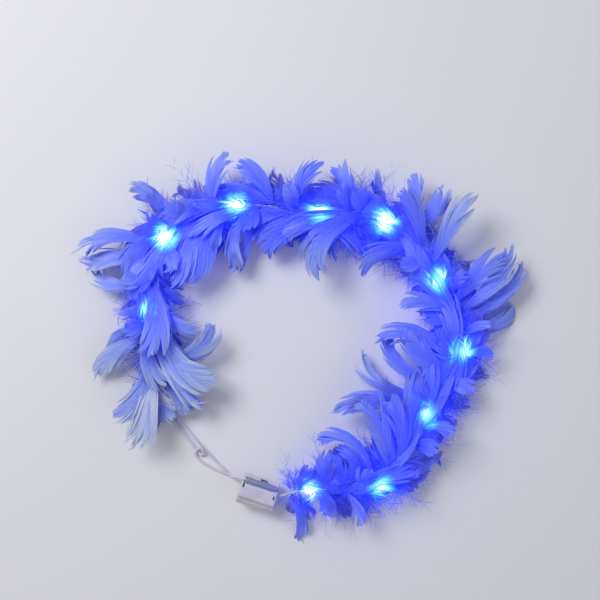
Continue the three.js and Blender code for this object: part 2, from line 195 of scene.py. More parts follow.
bearings, reaches, heights = np.array(wireRow["stations"], float).T
aroundHead = np.stack([np.cos(np.radians(bearings)), np.sin(np.radians(bearings))], -1)
stationPoints = np.column_stack([reaches[:, None] * aroundHead, heights])
wireStart = fromCase([[caseRow["size"][0] / 2 - wireRow["inset"], 0, wireRow["exit"]]])
wirePoints = np.concatenate([wireStart, stationPoints])
lastStation = len(wirePoints) - 1
lightPoints = stationPoints[:-1]


# A point of the wire: its route at a place counted in lights, from 0 at the case to its far end
def wireAt(at):
    return routeAt(wirePoints, np.asarray(at, float), spread=0)


# The way the wire runs: from a point just before a place to one just after it
def wireHeading(at):
    at, step = np.asarray(at, float), wireRow["headingStep"]
    return unit(wireAt(np.minimum(at + step, lastStation)) - wireAt(np.maximum(at - step, 0)))


# The ring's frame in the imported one: the first light's middle in both
firstLow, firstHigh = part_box("led_01")
toPacked = (np.array(firstLow) + np.array(firstHigh)) / 2 * 1000 - lightPoints[0]
print("frame: ring to packed shift in mm", toPacked.round(3))


# Puts new data into the scene as an object
def addObject(name, data, place=(0, 0, 0)):
    thing = bpy.data.objects.new(name, data)
    thing.location = place
    scene.collection.objects.link(thing)
    return thing


# A piece from points and faces: smooth shaded, with its place in its mesh, on its body
def makePiece(name, surface, finish, nodes, values=None, body="headband"):
    points, faceSets = surface
    mesh = bpy.data.meshes.new(name)
    corners = np.concatenate([faces.ravel() for faces in faceSets]).astype(np.int32)
    sizes = np.concatenate([np.full(len(faces), faces.shape[1]) for faces in faceSets])
    mesh.vertices.add(len(points))
    mesh.vertices.foreach_set("co", ((points + toPacked) / 1000).astype(np.float32).ravel())
    mesh.loops.add(len(corners))
    mesh.loops.foreach_set("vertex_index", corners)
    mesh.polygons.add(len(sizes))
    mesh.polygons.foreach_set("loop_start", (np.cumsum(sizes) - sizes).astype(np.int32))
    mesh.polygons.foreach_set("use_smooth", np.ones(len(sizes), bool))
    mesh.update(calc_edges=True)
    for label, value in (values or {}).items():
        attribute = mesh.attributes.new(label, "FLOAT", "POINT")
        attribute.data.foreach_set("value", value.astype(np.float32))
    mesh.validate()
    mesh.materials.append(finish)
    piece = addObject(name, mesh)
    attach(piece, body)
    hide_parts(*nodes)
    return piece


# Sets a node's inputs: a socket is linked, any other value is set
def setInputs(tree, node, inputs):
    for label, value in inputs.items():
        if isinstance(value, bpy.types.NodeSocket):
            tree.links.new(value, node.inputs[label])
        else:
            node.inputs[label].default_value = value


# Adds a node with its inputs, its settings and the stops of a ramp
def addNode(tree, kind, inputs, stops=(), **settings):
    node = tree.nodes.new(kind)
    for label, value in settings.items():
        setattr(node, label, value)
    setInputs(tree, node, inputs)
    for order, (position, colour) in enumerate(stops):
        elements = node.color_ramp.elements
        stop = elements[order] if order < 2 else elements.new(position)
        stop.position = position
        stop.color = linear(colour)
    return node


# A new material, with its node tree and its shader
def newFinish(name):
    material = bpy.data.materials.new(name)
    material.use_nodes = True
    return material, material.node_tree, material.node_tree.nodes["Principled BSDF"]


grainRow = {"from": 0.3, "to": 0.7, "height": 0.0001}


# A finish with a fine grain: noise with cells of grainSize mm turns the first colour into the second and
# raises the surface. What else the material needs is set on its shader.
def grainedFinish(name, colours, settings, grainSize, bumpStrength=0):
    finish, tree, shader = newFinish(name)
    place = addNode(tree, "ShaderNodeTexCoord", {})
    grain = addNode(tree, "ShaderNodeTexNoise", {
        "Vector": place.outputs["Object"], "Scale": 1000 / grainSize,
    })
    stops = zip((grainRow["from"], grainRow["to"]), colours)
    colour = addNode(tree, "ShaderNodeValToRGB", {"Fac": grain.outputs["Fac"]}, stops)
    setInputs(tree, shader, {"Base Color": colour.outputs["Color"], **settings})
    if bumpStrength > 0:
        bump = addNode(tree, "ShaderNodeBump", {
            "Height": grain.outputs["Fac"], "Strength": bumpStrength, "Distance": grainRow["height"],
        })
        setInputs(tree, shader, {"Normal": bump.outputs["Normal"]})
    return finish


# The camera looks straight down, as in the photo: 0.64 mm a pixel at the height of the lights
viewRow = {
    "mmPerPixel": 0.64,
    "pixels": 600,
    "ringPixel": (305, 352),
    "lightHeight": 14.0,
    "distance": 640.0,
    "sensor": 36.0,
    "clipStart": 0.01,
}


# The lens: sensor width times distance, over the width that is seen at the height of the lights
def makeCamera():
    scale, middle = viewRow["mmPerPixel"], viewRow["pixels"] / 2
    ringX, ringY = viewRow["ringPixel"]
    height = viewRow["lightHeight"] + viewRow["distance"]
    place = np.array([(middle - ringX) * scale, (ringY - middle) * scale, height])
    lens = bpy.data.cameras.new("camera")
    lens.sensor_width = viewRow["sensor"]
    lens.lens = viewRow["sensor"] * viewRow["distance"] / (viewRow["pixels"] * scale)
    lens.clip_start = viewRow["clipStart"]
    scene.camera = addObject("camera", lens, (place + toPacked) / 1000)
    print("camera: straight down, lens in mm", round(lens.lens, 2))


makeCamera()

glowRow = {
    "tight": 6.8,
    "tightPower": 1.7,
    "tightShare": 0.5,
    "strengths": np.array([0.95, 0.65, 0.92, 0.88, 0.92, 0.85, 0.65, 0.95, 0.95, 0.75]),  # light by light
    "wide": 22.0,
    "wideShare": 0.46,
    "even": 0.08,
    "heightShare": 0.4,
}


# Glow at a place, which the feathers and the glue paint into their colour and emission: a tight part
# close to each light, a wide one that falls off over centimetres and an even one from all the feathers.
# Height counts less than distance in plan, because the feathers over a light glow too.
def litAt(points, streak=1.0):
    apart = points[:, None] - lightPoints[None]
    apart[..., 2] *= glowRow["heightShare"]
    distance = np.linalg.norm(apart, axis=2)
    tight = np.exp(-((distance / glowRow["tight"]) ** glowRow["tightPower"])) @ glowRow["strengths"]
    wide = np.exp(-distance / glowRow["wide"]).sum(1)
    shares = glowRow["tightShare"] * tight * streak + glowRow["wideShare"] * wide
    return np.clip(glowRow["even"] + shares, 0, 1)


# Feather: bleached goose feather, keratin, white, with a silky sheen, and it lets light through. The
# lights' glow is painted into its base colour and emission, so it is pale at the tips, blue along the
# wire and white close to a light. It reads "lit" for that painted glow, "tone" for the differences from
# feather to feather and from barb to barb, and how deep each barb is buried for a painted shade between
# them.
def featherKeratin():
    finish, tree, shader = newFinish("feather_keratin")
    lit = addNode(tree, "ShaderNodeAttribute", {}, attribute_name="lit")
    tone = addNode(tree, "ShaderNodeAttribute", {}, attribute_name="tone")
    level = addNode(tree, "ShaderNodeMath", {
        0: tone.outputs["Fac"], 1: lit.outputs["Fac"],
    }, operation="ADD")
    # Painted glow: the base colour goes from pale blue to blue, cyan and white as the level of glow rises
    colour = addNode(tree, "ShaderNodeValToRGB", {"Fac": level.outputs[0]}, [
        (0.0, "#B8C6EA"), (0.1, "#92A7EC"), (0.2, "#7F94F2"), (0.28, "#7488F8"), (0.36, "#6577FC"),
        (0.44, "#5064FF"), (0.52, "#3E58FF"), (0.6, "#4490FF"), (0.73, "#90E0FF"), (0.88, "#FFFFFF"),
    ])
    # Painted glow: the emission follows the same level, so the feathers glow though they are no lamp
    shine = addNode(tree, "ShaderNodeValToRGB", {"Fac": level.outputs[0]}, [
        (0.0, "#040418"), (0.1, "#070734"), (0.2, "#0A0E56"), (0.28, "#0E1270"), (0.36, "#121890"),
        (0.44, "#181EBC"), (0.52, "#203CF4"), (0.6, "#2884FF"), (0.73, "#6CE4FF"), (0.88, "#FFFFFF"),
    ])
    paintedShade = addNode(tree, "ShaderNodeAttribute", {}, attribute_name="paintedShade")
    # Painted shade: the deeper a barb is buried, the more its colour and emission turn to these dark blues
    colour, shine = (
        addNode(tree, "ShaderNodeMix", {
            "Factor": paintedShade.outputs["Fac"], 6: ramp.outputs["Color"], 7: linear(deep),  # the two colours
        }, data_type="RGBA")
        for ramp, deep in ((colour, "#3238C4"), (shine, "#06083C"))
    )
    setInputs(tree, shader, {
        "Base Color": colour.outputs[2],
        "Emission Color": shine.outputs[2],
        "Emission Strength": 0.8,
        "Roughness": 0.5,
        "IOR": 1.54,
        "Sheen Weight": 0.2,
        "Sheen Roughness": 0.4,
    })
    return finish


# Feathers that show most: place along the wire, bearing, rise, length, width and curl
leadFeathers = np.array([
    (0.55, -62, 5, 36, 8, -24), (0.62, -105, -15, 20, 7, 20), (0.75, 75, 35, 19, 9, -20),
    (0.45, 120, 30, 18, 6, 25), (1.3, 105, 35, 26, 12, -15), (1.45, 95, 30, 25, 13, 20),
    (1.68, 85, 25, 34, 8, 45), (1.8, 72, 30, 60, 9, 105), (1.4, -100, -20, 20, 10, 25),
    (1.75, -75, -20, 20, 10, -25), (2.2, 98, 40, 60, 20, 15), (2.35, 80, 45, 52, 14, 20),
    (2.2, 5, 10, 38, 8, 30), (2.3, 28, 20, 42, 8, 35), (2.45, 18, 5, 36, 7, 15),
    (2.75, 30, 10, 30, 9, -20), (3.15, 168, 25, 66, 13, 15), (3.3, 185, 15, 62, 9, -50),
    (3.45, 170, 30, 58, 9, -45), (3.25, -25, -10, 28, 9, 20), (3.6, 150, 45, 50, 15, -10),
    (3.75, 125, 40, 64, 14, 52), (3.85, 25, 15, 36, 8, 55), (3.55, -5, -10, 28, 8, 30),
    (4.25, 3, 5, 46, 13, 22), (4.35, 28, 15, 60, 12, 14), (4.45, 40, 25, 60, 13, 10),
    (4.6, 56, 35, 48, 17, -10), (4.5, 150, 40, 40, 12, 25), (5.15, 75, 40, 58, 14, -15),
    (5.35, 95, 45, 50, 13, 15), (5.5, 182, 30, 44, 14, 38), (5.7, 30, 20, 42, 12, 25),
    (5.75, 60, 25, 40, 11, 20), (6.25, 185, 35, 64, 19, 70), (6.4, 200, 15, 50, 14, 45),
    (6.3, 130, 35, 40, 10, -15), (6.55, 95, 35, 34, 7, 20), (6.75, 250, 20, 32, 10, 20),
    (7.2, 215, 20, 38, 11, 15), (7.35, 75, 35, 38, 11, -20), (7.55, 110, 30, 38, 12, 25),
    (7.8, 262, 15, 46, 9, -5), (7.9, 248, 25, 44, 12, 15), (8.3, 95, 30, 40, 12, -25),
    (8.25, 256, 30, 52, 20, -5), (8.55, 270, 35, 48, 15, -15), (8.75, 125, 25, 40, 13, 20),
    (9.2, 148, 30, 52, 13, 55), (9.4, 168, 20, 46, 14, 20), (9.55, 285, 40, 58, 20, -10),
    (9.7, 185, 10, 40, 10, -20), (9.8, 300, 30, 44, 12, 30), (10.15, 195, 5, 38, 9, 30),
    (10.25, 206, 15, 48, 14, 10), (10.35, 272, 30, 58, 16, -40), (10.45, 268, 30, 64, 16, -4),
    (10.3, 308, 35, 54, 20, 20), (10.5, 345, 30, 50, 13, 70), (10.65, 264, 15, 40, 14, -15),
], float)

tuftRow = {
    "fills": [2, 5, 6, 6, 6, 5, 5, 6, 6, 5, 6],  # filling feathers in each tuft
    "wraps": [1, 6, 6, 9, 10, 9, 10, 10, 10, 11, 16],  # broad ones laid along the wire
    "wisps": [0, 3, 3, 3, 3, 3, 3, 3, 3, 3, 3],  # long narrow ones between them
    "lightRoom": 3.8,  # half a light and a gap, bare of quills
    "caseRoom": 8.0,
    "caseClear": 3.5,  # no shaft lies over the case or this far beside it
    "caseShare": 0.12,
    "hookRoom": 7.7,
    "quillInset": 1.5,
    "seeds": [100, 101, 102, 403, 304, 305, 306, 307, 408, 409, 410],
    "lead": (40, 1.0, 1.0),  # barbs on a side, looseness and share of splits, for each kind
    "fill": (30, 1.2, 0.9),
    "wrap": (40, 0.8, 0.6),
    "wisp": (18, 1.4, 1.0),
    "tailSplit": 0.35,  # share of the splits that broad feathers keep in the last tuft
    "tailGlowFade": -0.05,  # and how much paler it is, with less painted glow
    "cell": 2.0,  # grid in plan for how deep a barb is buried, for the painted shade
    "paintedShade": (2.5, 12.0),  # under so much its painted shade starts, and is darkest
}

fillRow = {
    "goldenAngle": 137.5,
    "goldenShare": 0.618,
    "outward": 25,  # bearing from straight out, for those on the outer side
    "inward": 155,  # and for those on the inner side
    "wander": 70,
    "rise": 70,
    "riseRange": (-25, 60),
    "curl": -90,
    "fillSize": ((20, 10), (8, 5)),  # least length and what is added, least width and what is added
    "wispSize": ((24, 14), (4.5, 3)),
    "wispTurn": (40, 3),  # the wisps' first turn, and further turns for each fill before them
}

wrapRow = {
    "place": (0.2, 0.8),
    "backEvery": 4,
    "lean": (4, 26),
    "rise": (6, 32),
    "length": (42, 62),
    "width": (10, 16),
    "curl": 22,
    "leanBack": (0.2, 1.0),  # share of the lean that the curl takes back
    "overhang": 12.0,  # past the far end of the wire
    "shortfall": 16.0,  # before its start in the case
}

barbRow = {
    "droop": 42.0,
    "hook": (25.0, 0.5, 40.0),  # further turn of the tip: least, share of the curl and most
    "shaftSteps": 24,
    "roll": 14,
    "lowest": 1.0,
    "highest": 36.0,
    "bareQuill": 0.03,
    "lastBarb": 0.95,
    "firstTip": (0.68, 0.88),  # the first barbs end here along the shaft, the last ones at its tip
    "bow": 1.35,
    "halfWidth": 0.42,
    "ridge": 0.45,
    "hollow": (0.25, 40),  # so much narrower on the hollow side, at this curl
    "lock": 12,  # barbs that close up into one lock
    "lockFrom": 2.2,
    "lockMoves": ((0, 0.05), (0.04, 0.1), (0, 0.04), (0, 0.04)),  # stretch, spread, sway and lift
    "ragged": (0.4, 1.3),
    "clump": (0.1, 0.85),
    "cup": 0.12,
    "stray": 0.03,
    "liftJitter": (0.05, 0.004),  # of a stray barb and of any other
    "tipJitter": (0.06, 0.028),
    "widthRange": (0.75, 1.25),
    "stations": np.array([0, 0.08, 0.3, 0.52, 0.72, 0.88, 1.0]),
    "taper": np.array([0, 0.85, 1.0, 0.97, 0.85, 0.55, 0]),
    "shaftWidth": (0.32, 0.08),
    "featherTone": 0.12,
    "barbTone": 0.085,
    "lockTone": 0.045,
    "bluest": 0.49,  # level that tone alone can reach
    "streak": 5.0,
    "streakRange": (0.55, 1.35),
    "sharp": 70,
    # painted: the glow fades towards each barb's tip, so the tips are paler
    "tipGlowFade": -0.13,
    # painted highlight: the outermost barbs of a vane are paler
    "edgeHighlight": -0.07,
    "edgePower": 4,
    "shaftTone": -0.02,
    "hairy": (-16, 4.0),  # below this rise the barbs are so much looser
}

downRow = {
    "plumes": [26, 90, 90, 90, 90, 90, 90, 90, 90, 90, 90],  # in each tuft
    "byCase": (0.42, 0.6),  # those of the first tuft start here along the wire, and are this short
    "strands": 14,
    "length": (10.0, 24.0),
    "strandLength": (7.5, 15.0),
    "firstStrand": 0.15,
    "strandTaper": (1.2, 0.5),  # share of its length at the root, and what is lost towards the tip
    "shareJitter": 0.05,
    "slant": (6, 26),
    "arch": (0.2, 1.0),
    "curlSpread": 0.3,
    "rise": 0.4,
    "forward": (0.3, 0.7),  # lean along the wire, and its spread
    "bendSpread": 0.6,
    "sag": 0.45,
    "halfWidth": 0.13,
    "stations": np.array([0, 0.2, 0.5, 0.8, 1.0]),
    "taper": np.array([0, 1.0, 0.9, 0.7, 0]),
}


# Shafts: heading turns by the curl and slope falls by the droop, evenly from root to tip, and the tip
# hooks further the same way. Their points are the running sums of these directions, over the table.
def shaftPoints(roots, feathers):
    _, bearing, rise, length, _, curl = feathers.T[..., None]
    steps = barbRow["shaftSteps"]
    along = (np.arange(steps) + 0.5) / steps
    least, share, most = barbRow["hook"]
    hook = np.sign(curl) * np.minimum(least + share * np.abs(curl), most)
    heading = np.radians(bearing + curl * along + hook * along**3)
    slope = np.radians(rise - barbRow["droop"] * along)
    flat = np.cos(slope)
    paces = np.stack([np.cos(heading) * flat, np.sin(heading) * flat, np.sin(slope)], -1)
    paces *= (length / steps)[..., None]
    points = np.concatenate([roots[:, None], roots[:, None] + np.cumsum(paces, 1)], 1)
    points[..., 2] = np.maximum(points[..., 2], barbRow["lowest"])
    return points


# Values along rows of samples: even shares of the two nearest, and straight on past the last
def sampleAt(samples, along):
    steps = samples.shape[1] - 1
    place = along.reshape(len(samples), int(np.prod(along.shape[1:]))) * steps
    index = np.clip(np.floor(place).astype(int), 0, steps - 1)
    share = (place - index)[..., None]
    near = np.take_along_axis(samples, index[..., None], 1)
    far = np.take_along_axis(samples, index[..., None] + 1, 1)
    return (near + (far - near) * share).reshape(*along.shape, 3)


# Strands: slivers with a point at both ends and a ridge on top. Left edge, ridge and right edge
# stand across the path at each station between, and share the station's tone.
def strandSurface(path, normal, half, tone):
    count, stations = path.shape[:2]
    ahead = unit(np.gradient(path, axis=1))
    across = unit(np.cross(normal, ahead)) * half[..., None]
    ridge = path + normal * (half * barbRow["ridge"])[..., None]
    rings = np.stack([path + across, ridge, path - across], 2)[:, 1:-1]
    rings = rings.reshape(count, 3 * (stations - 2), 3)
    points = np.concatenate([path[:, :1], rings, path[:, -1:]], 1)
    tones = np.concatenate([tone[:, :1], np.repeat(tone[:, 1:-1], 3, 1), tone[:, -1:]], 1)
    perStrand = points.shape[1]
    ring = 1 + np.arange(3 * (stations - 2)).reshape(-1, 3)
    beside = np.roll(ring, -1, 1)
    first, last = np.zeros(3, int), np.full(3, perStrand - 1)
    startTip = np.stack([first, beside[0], ring[0]], -1)
    endTip = np.stack([last, ring[-1], beside[-1]], -1)
    tips = np.concatenate([startTip, endTip])
    walls = np.stack([ring[:-1], beside[:-1], beside[1:], ring[1:]], -1).reshape(-1, 4)
    offset = (perStrand * np.arange(count))[:, None, None]
    return points, [(tips + offset).reshape(-1, 3), (walls + offset).reshape(-1, 4)], tones


# Keeps paths over the table and under the tallest feathers
def clipped(path):
    path[..., 2] = np.clip(path[..., 2], barbRow["lowest"], barbRow["highest"])
    return path


# Barbs: each leaves the shaft at a low angle, bows forward and ends near the feather's tip, the first
# ones outermost and the last ones next to the shaft, so that the tip is half an oval. Towards their
# ends the neighbours close up into locks, and each lock has its own stretch, spread, sway and lift,
# which splits the tip. The vane is narrower on the hollow side of a curl. Its edge is paler, a painted
# highlight, and its tip is paler, where the painted glow of the lights fades.
def featherBarbs(roots, feathers, random, barbs, loose, split):
    count = len(feathers)
    lowRise, hairy = barbRow["hairy"]
    loose = np.where(feathers[:, 2:3] < lowRise, hairy, loose)
    shaft = shaftPoints(roots, feathers)
    ahead = unit(np.gradient(shaft, axis=1))
    level = unit(np.stack([-ahead[..., 1], ahead[..., 0], 0 * ahead[..., 0]], -1))
    square = np.cross(ahead, level)
    roll = np.radians(random.normal(0, barbRow["roll"], (count, 1, 1)))
    side = level * np.cos(roll) + square * np.sin(roll)
    up = square * np.cos(roll) - level * np.sin(roll)

    order = np.tile((np.arange(barbs) + 0.5) / barbs, 2)[None]
    sign = np.repeat([1.0, -1.0], barbs)[None]
    phase = np.repeat(random.uniform(0, barbRow["lock"], (count, 2)), barbs, 1)
    lock = np.floor((order * barbs + phase) / barbRow["lock"]).astype(int)
    lockOrder = np.clip(((lock + 0.5) * barbRow["lock"] - phase) / barbs, 0, 1)
    locks = barbs // barbRow["lock"] + 2
    lockIndex = lock + np.repeat([[0, locks]], barbs, 1)
    ragged = random.uniform(*barbRow["ragged"], (count, 1)) * loose

    # One random value for each lock, handed to its barbs
    def perLock(middle, spread):
        values = random.normal(middle, spread, (count, 2 * locks)) * ragged
        return np.take_along_axis(values, lockIndex, 1)

    stretch, spread, sway, lift = (perLock(*move) for move in barbRow["lockMoves"])
    shape = (count, 2 * barbs)
    stray = random.random(shape) < barbRow["stray"] * loose
    clump = np.where(stray, 0, random.uniform(*barbRow["clump"], (count, 1)) * split)
    lift = lift + random.normal(0, 1, shape) * np.where(stray, *barbRow["liftJitter"])
    order = np.clip(order + random.uniform(-0.5, 0.5, shape) / barbs, 0, 1)
    half, length, curl = feathers[:, 4, None] / 2, feathers[:, 3, None], feathers[:, 5, None]
    hollow, fullCurl = barbRow["hollow"]
    halfHere = half * (1 - hollow * sign * np.clip(curl / fullCurl, -1, 1))
    firstTip = random.uniform(*barbRow["firstTip"], (count, 1))

    # Where a barb ends along the shaft: from the first tip on to the shaft's own, by a sine
    def tipAt(share):
        return firstTip + (1 - firstTip) * np.sin(share * np.pi / 2)

    # How far out it ends: half the vane's width, falling to nothing by a cosine
    def reachAt(share):
        return halfHere * np.cos(share * np.pi / 2)

    base = barbRow["bareQuill"] + (barbRow["lastBarb"] - barbRow["bareQuill"]) * order
    tip = tipAt(order) + random.normal(0, 1, shape) * np.where(stray, *barbRow["tipJitter"])
    reach = reachAt(order)
    along = barbRow["stations"]
    pull = clump[..., None] * along ** barbRow["lockFrom"]
    place = base[..., None] + (tip - base)[..., None] * along
    place = place + pull * (tipAt(lockOrder) + stretch - tip)[..., None]
    out = reach[..., None] * (1 - (1 - along) ** barbRow["bow"])
    out = out + pull * (reachAt(lockOrder) * (1 + spread) - reach)[..., None]
    out = sign[..., None] * out + (sway * length)[..., None] * along**3
    rise = (lift * length)[..., None] * along**2 - barbRow["cup"] * out**2 / half[..., None]
    sideHere, upHere = sampleAt(side, place), sampleAt(up, place)
    barbPath = clipped(sampleAt(shaft, place) + sideHere * out[..., None] + upHere * rise[..., None])
    wide = random.uniform(*barbRow["widthRange"], shape)[..., None]
    width = barbRow["halfWidth"] * wide * barbRow["taper"] / loose[..., None] ** 0.5

    featherTone = random.uniform(-1, 1, (count, 1)) * barbRow["featherTone"]
    barbTone = featherTone + random.uniform(-1, 1, shape) * barbRow["barbTone"]
    barbTone = barbTone + perLock(0, barbRow["lockTone"])
    # Painted highlight on the vane's edge, and painted glow fading towards the tips
    barbTone = barbTone + barbRow["edgeHighlight"] * (1 - order) ** barbRow["edgePower"]
    toneAlong = barbTone[..., None] + barbRow["tipGlowFade"] * along**2
    flat = (count * 2 * barbs, len(along))
    vanes = strandSurface(
        barbPath.reshape(*flat, 3), upHere.reshape(*flat, 3), width.reshape(flat), toneAlong.reshape(flat)
    )
    shaftHalf = np.linspace(*barbRow["shaftWidth"], shaft.shape[1])[None] * np.ones((count, 1))
    shaftTone = np.repeat(featherTone + barbRow["shaftTone"], shaft.shape[1], 1)
    shafts = strandSurface(shaft, up, shaftHalf, shaftTone)
    return [vanes, shafts]


# Down: plumes whose quills leave the wire all round and bend over. Fine strands leave a quill by turns
# on both sides, at a low slant, and arch out from it.
def downStrands(tuft, start, stop, random):
    plumes, strands = downRow["plumes"][tuft], downRow["strands"]
    first, short = downRow["byCase"] if tuft == 0 else (start, 1.0)
    at = random.uniform(max(start, first), stop, plumes)
    root, ahead = wireAt(at), wireHeading(at)
    side, up = squareTo(ahead)
    turn = random.uniform(0, 2 * np.pi, (plumes, 1))
    lean = random.normal(*downRow["forward"], (plumes, 1))
    out = unit(np.cos(turn) * side + downRow["rise"] * np.sin(turn) * up + lean * ahead)
    bend = random.normal(0, downRow["bendSpread"], (plumes, 3)) - [0, 0, downRow["sag"]]
    length = random.uniform(*downRow["length"], (plumes, 1, 1)) * short

    # A quill: straight out by the share of its length, and bent by the share's square
    def quillAt(share):
        run = out[:, None] * share + bend[:, None] * share**2 / 2
        return root[:, None] + run * length

    along = downRow["stations"]
    quills = clipped(quillAt(along[None, :, None]))
    jitter = downRow["shareJitter"] * np.array([-1, 1])
    share = np.linspace(downRow["firstStrand"], 1, strands) + random.uniform(*jitter, (plumes, strands))
    share = share[..., None]
    heading = unit(out[:, None] + bend[:, None] * share)
    beside = unit(np.cross(heading, random.normal(0, 1, (plumes, 1, 3))))
    slant = np.radians(random.uniform(*downRow["slant"], (plumes, strands, 1)))
    way = np.where(np.arange(strands) % 2 == 0, 1.0, -1.0)[None, :, None]
    leave = heading * np.cos(slant) + way * beside * np.sin(slant)
    arch = random.uniform(*downRow["arch"], (plumes, strands, 1))
    curl = way * beside * arch + random.normal(0, downRow["curlSpread"], (plumes, strands, 3))
    atRoot, lost = downRow["strandTaper"]
    reach = random.uniform(*downRow["strandLength"], (plumes, strands, 1)) * (atRoot - lost * share) * short
    far = along[None, None, :, None]
    run = leave[:, :, None] * far + curl[:, :, None] * far**2 / 2
    path = clipped(quillAt(share)[:, :, None] + run * reach[:, :, None])
    path = path.reshape(plumes * strands, len(along), 3)
    face = np.repeat(np.cross(heading, beside).reshape(-1, 1, 3), len(along), 1)
    quillFace = np.repeat(unit(np.cross(out, side))[:, None], len(along), 1)
    tone = random.uniform(-1, 1, (plumes, 1)) * barbRow["featherTone"]
    strandTone = np.tile(np.repeat(tone, strands, 0), len(along))
    width = downRow["halfWidth"] * downRow["taper"][None]
    return [
        strandSurface(path, face, np.repeat(width, len(path), 0), strandTone),
        strandSurface(quills, quillFace, np.repeat(width, plumes, 0), np.tile(tone, len(along))),
    ]


# Filling feathers turn about the wire by the golden angle, out, up and in by turns, swept forward
def fillFeathers(tuft, count, firstTurn, length, width):
    turn = firstTurn + np.arange(count)
    about = np.radians(fillRow["goldenAngle"] * turn)
    at = tuft + (np.arange(count) + 0.5) / count
    ahead = wireHeading(at)
    outward = np.degrees(np.arctan2(-ahead[:, 0], ahead[:, 1]))
    wander = turn * fillRow["goldenShare"] % 1 - 0.5
    grow = turn * fillRow["goldenShare"] ** 2 % 1
    swept = np.where(np.cos(about) > 0, fillRow["outward"], fillRow["inward"])
    bearing = outward + swept + fillRow["wander"] * wander
    rise = np.clip(fillRow["rise"] * np.sin(about), *fillRow["riseRange"])
    lengths = length[0] + length[1] * grow
    widths = width[0] + width[1] * (1 - grow)
    return np.stack([at, bearing, rise, lengths, widths, fillRow["curl"] * wander], -1)


# Wrapping feathers lie along the wire, three forward to one back, lean to both sides of it and curl
# with the ring. In the first and the last tuft all of them lie forward. None reaches back to the case
# or hangs far over the far end.
def wrapFeathers(tuft, count, random):
    order = np.arange(count)
    at = tuft + (order + random.uniform(*wrapRow["place"], count)) / count
    ahead = wireHeading(at)
    heading = np.degrees(np.arctan2(ahead[:, 1], ahead[:, 0]))
    back = ((order + 1) % wrapRow["backEvery"] == 0) & (0 < tuft < lastStation - 1)
    lean = np.where(order % 2 == 0, 1, -1) * random.uniform(*wrapRow["lean"], count)
    rise = random.uniform(*wrapRow["rise"], count)
    toStart = np.linalg.norm(wireAt(at) - wirePoints[0], axis=1) - wrapRow["shortfall"]
    toEnd = np.linalg.norm(wireAt(at) - wirePoints[-1], axis=1) + wrapRow["overhang"]
    length = np.minimum(random.uniform(*wrapRow["length"], count), np.where(back, toStart, toEnd))
    width = random.uniform(*wrapRow["width"], count)
    withRing = np.where(back, -wrapRow["curl"], wrapRow["curl"])
    curl = withRing - lean * random.uniform(*wrapRow["leanBack"], count)
    return np.stack([at, heading + 180 * back + lean, rise, length, width, curl], -1)


# A tuft's ends along the wire, and how far in from them its quills stand: lengths over the span between
# its two lights
def tuftEnds(tuft):
    span = np.linalg.norm(wirePoints[tuft + 1] - wirePoints[tuft])
    start = tuftRow["caseRoom"] if tuft == 0 else tuftRow["lightRoom"]
    stop = tuftRow["hookRoom"] if tuft == lastStation - 1 else tuftRow["lightRoom"]
    return tuft + start / span, tuft + 1 - stop / span, tuftRow["quillInset"] / span


# Keeps the feathers whose shafts lie clear of the case in plan, but for a small share of their length
def clearOfCase(roots, feathers):
    turn = np.radians(-caseRow["turn"])
    plan = shaftPoints(roots, feathers)[..., :2] - caseRow["middle"]
    along = plan[..., 0] * np.cos(turn) - plan[..., 1] * np.sin(turn)
    across = plan[..., 0] * np.sin(turn) + plan[..., 1] * np.cos(turn)
    tilt = np.radians(caseRow["tilt"])
    halfLength, halfWidth, halfDepth = caseRow["size"] / 2
    halfPlan = halfWidth * np.cos(tilt) + halfDepth * np.sin(tilt)
    room = tuftRow["caseClear"]
    over = (np.abs(along) < halfLength + room) & (np.abs(across) < halfPlan + room)
    return over.mean(1) < tuftRow["caseShare"]


# How deep points are buried, which sets the painted shade between the feathers: the highest point of each
# cell in plan and of the cells beside it, less the point's own height, from 0 to 1 between two depths
def paintedShadeShare(points):
    cell = np.floor(points[:, :2] / tuftRow["cell"]).astype(int)
    cell = cell - cell.min(0) + 1
    top = np.zeros(cell.max(0) + 2)
    np.maximum.at(top, (cell[:, 0], cell[:, 1]), points[:, 2])
    for axis in (0, 1):
        top = np.maximum(top, (np.roll(top, 1, axis) + np.roll(top, -1, axis)) / 2)
    least, most = tuftRow["paintedShade"]
    depth = top[cell[:, 0], cell[:, 1]] - points[:, 2]
    return np.clip((depth - least) / (most - least), 0, 1)
